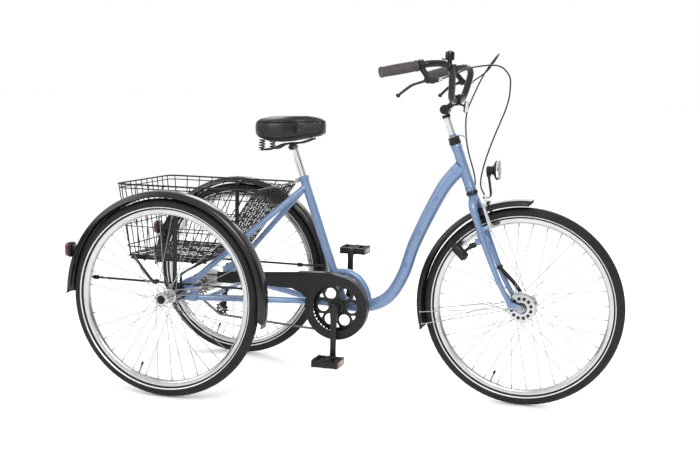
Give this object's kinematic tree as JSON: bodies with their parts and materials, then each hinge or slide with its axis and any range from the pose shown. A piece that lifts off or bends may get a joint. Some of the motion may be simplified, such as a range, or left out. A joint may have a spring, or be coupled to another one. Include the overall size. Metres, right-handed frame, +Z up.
{
  "type": "adult tricycle",
  "caption": "Step-through adult tricycle with a curved low frame, rear wire basket between two fendered wheels, chain guard, swept handlebar and adjustable saddle.",
  "frame": {"origin": "middle of the whole length and width, on the ground", "axes": "+X forward, +Y to the rider's left, +Z up"},
  "size_m": [1.821, 0.738, 1.1594],
  "materials": {
    "blue_paint": "gloss metallic light blue paint",
    "black_metal": "satin black paint",
    "black_plastic": "semi-gloss black",
    "chrome": "bright chrome",
    "alloy": "polished silver",
    "steel": "dull grey steel",
    "tyre_rubber": "matt black with tread",
    "grip_rubber": "matt dark grey",
    "saddle_vinyl": "semi-gloss black vinyl",
    "red_lens": "clear red"
  },
  "bodies": {
    "frame": {"main_frame": "blue_paint", "headset_cup_upper": "black_metal", "headset_cup_lower": "black_metal", "seat_clamp": "black_metal", "bottom_bracket": "steel", "axle_bearing_left": "black_metal", "axle_bearing_right": "black_metal", "fender_carrier_left": "black_metal", "fender_carrier_right": "black_metal", "rear_fender_left": "black_plastic", "rear_fender_right": "black_plastic", "rear_light_left": "red_lens", "rear_light_right": "red_lens", "basket": "black_metal", "basket_support": "black_metal", "chain_guard": "black_plastic", "chain": "steel", "tensioner_bracket": "black_metal"},
    "pulley": {"tensioner_pulley": "black_plastic"},
    "rear_drive": {"rear_sprocket": "steel", "differential_housing": "alloy"},
    "crankset": {"chainring": "black_metal", "crank_spindle": "steel", "crank_arm_right": "black_metal", "crank_arm_left": "black_metal"},
    "right_pedal": {"pedal_right": "black_plastic"},
    "left_pedal": {"pedal_left": "black_plastic"},
    "rear_wheel_right": {"tyre_rear_right": "tyre_rubber", "rim_rear_right": "alloy", "hub_rear_right": "alloy", "axle_shaft_right": "steel"},
    "rear_wheel_left": {"tyre_rear_left": "tyre_rubber", "rim_rear_left": "alloy", "hub_rear_left": "alloy", "axle_shaft_left": "steel"},
    "steering": {"fork": "blue_paint", "stem_quill": "chrome", "stem_clamp": "black_metal", "handlebar": "black_metal", "grip_right": "grip_rubber", "grip_left": "grip_rubber", "brake_lever_mount_right": "black_metal", "brake_lever_mount_left": "black_metal", "headlight": "black_plastic", "headlight_bracket": "black_metal", "front_fender": "black_plastic", "rim_brake_cable": "black_plastic", "hub_brake_cable": "black_plastic", "hub_brake": "black_metal"},
    "front_wheel": {"tyre_front": "tyre_rubber", "rim_front": "alloy", "hub_front": "alloy"},
    "right_brake_lever": {"brake_lever_right": "black_metal"},
    "left_brake_lever": {"brake_lever_left": "black_metal"},
    "right_brake_arm": {"brake_arm_right": "alloy"},
    "left_brake_arm": {"brake_arm_left": "alloy"},
    "dynamo_bottle": {"dynamo": "black_metal"},
    "seat": {"saddle": "saddle_vinyl", "seat_post": "chrome", "saddle_frame": "steel"}
  },
  "joints": [
    {"name": "steering", "type": "hinge", "parent": "frame", "child": "steering", "pos_m": [0.3955, 0, 0.705], "axis": [-0.3584, 0, 0.9336], "range_deg": [-55, 55]},
    {"name": "front_wheel_spin", "type": "hinge", "parent": "steering", "child": "front_wheel", "pos_m": [0.5805, 0, 0.33], "axis": [0, 1, 0], "continuous": true},
    {"name": "rear_wheel_right_spin", "type": "hinge", "parent": "frame", "child": "rear_wheel_right", "pos_m": [-0.5495, -0.33, 0.33], "axis": [0, 1, 0], "continuous": true},
    {"name": "rear_wheel_left_spin", "type": "hinge", "parent": "frame", "child": "rear_wheel_left", "pos_m": [-0.5495, 0.33, 0.33], "axis": [0, 1, 0], "continuous": true},
    {"name": "crank_spin", "type": "hinge", "parent": "frame", "child": "crankset", "pos_m": [-0.0405, 0, 0.29], "axis": [0, 1, 0], "continuous": true},
    {"name": "rear_drive_spin", "type": "hinge", "parent": "frame", "child": "rear_drive", "pos_m": [-0.5495, 0, 0.33], "axis": [0, 1, 0], "continuous": true},
    {"name": "pulley_spin", "type": "hinge", "parent": "frame", "child": "pulley", "pos_m": [-0.4645, -0.052, 0.25], "axis": [0, 1, 0], "continuous": true},
    {"name": "pedal_right_spin", "type": "hinge", "parent": "crankset", "child": "right_pedal", "pos_m": [-0.0405, -0.152, 0.12], "axis": [0, 1, 0], "continuous": true},
    {"name": "pedal_left_spin", "type": "hinge", "parent": "crankset", "child": "left_pedal", "pos_m": [-0.0405, 0.152, 0.46], "axis": [0, 1, 0], "continuous": true},
    {"name": "seat_height", "type": "slide", "parent": "frame", "child": "seat", "axis": [-0.342, 0, 0.9397], "range_m": [-0.055, 0.12]},
    {"name": "brake_lever_right", "type": "hinge", "parent": "steering", "child": "right_brake_lever", "pos_m": [0.2885, -0.281, 1.06], "axis": [-0.5422, 0.8126, 0.214], "range_deg": [0, 20], "stiffness_Nm_per_rad": 1, "springref_deg": -17.19},
    {"name": "brake_lever_left", "type": "hinge", "parent": "steering", "child": "left_brake_lever", "pos_m": [0.2885, 0.281, 1.06], "axis": [0.5422, 0.8126, -0.214], "range_deg": [0, 20], "stiffness_Nm_per_rad": 1, "springref_deg": -17.19},
    {"name": "brake_arm_right", "type": "hinge", "parent": "steering", "child": "right_brake_arm", "pos_m": [0.4716, -0.0505, 0.59604], "axis": [-0.9336, 0, -0.3584], "range_deg": [0, 3]},
    {"name": "brake_arm_left", "type": "hinge", "parent": "steering", "child": "left_brake_arm", "pos_m": [0.4716, 0.0505, 0.59604], "axis": [0.9336, 0, 0.3584], "range_deg": [0, 3]},
    {"name": "dynamo_swing", "type": "hinge", "parent": "steering", "child": "dynamo_bottle", "pos_m": [0.4205, -0.052, 0.538], "axis": [0, 0, -1], "range_deg": [0, 7]}
  ],
  "couplings": [
    {"joint": "rear_drive_spin", "follows": "crank_spin", "ratio": 2.4444},
    {"joint": "pulley_spin", "follows": "crank_spin", "ratio": 4},
    {"joint": "brake_arm_right", "follows": "brake_lever_right", "ratio": 0.15},
    {"joint": "brake_arm_left", "follows": "brake_lever_right", "ratio": 0.15}
  ]
}
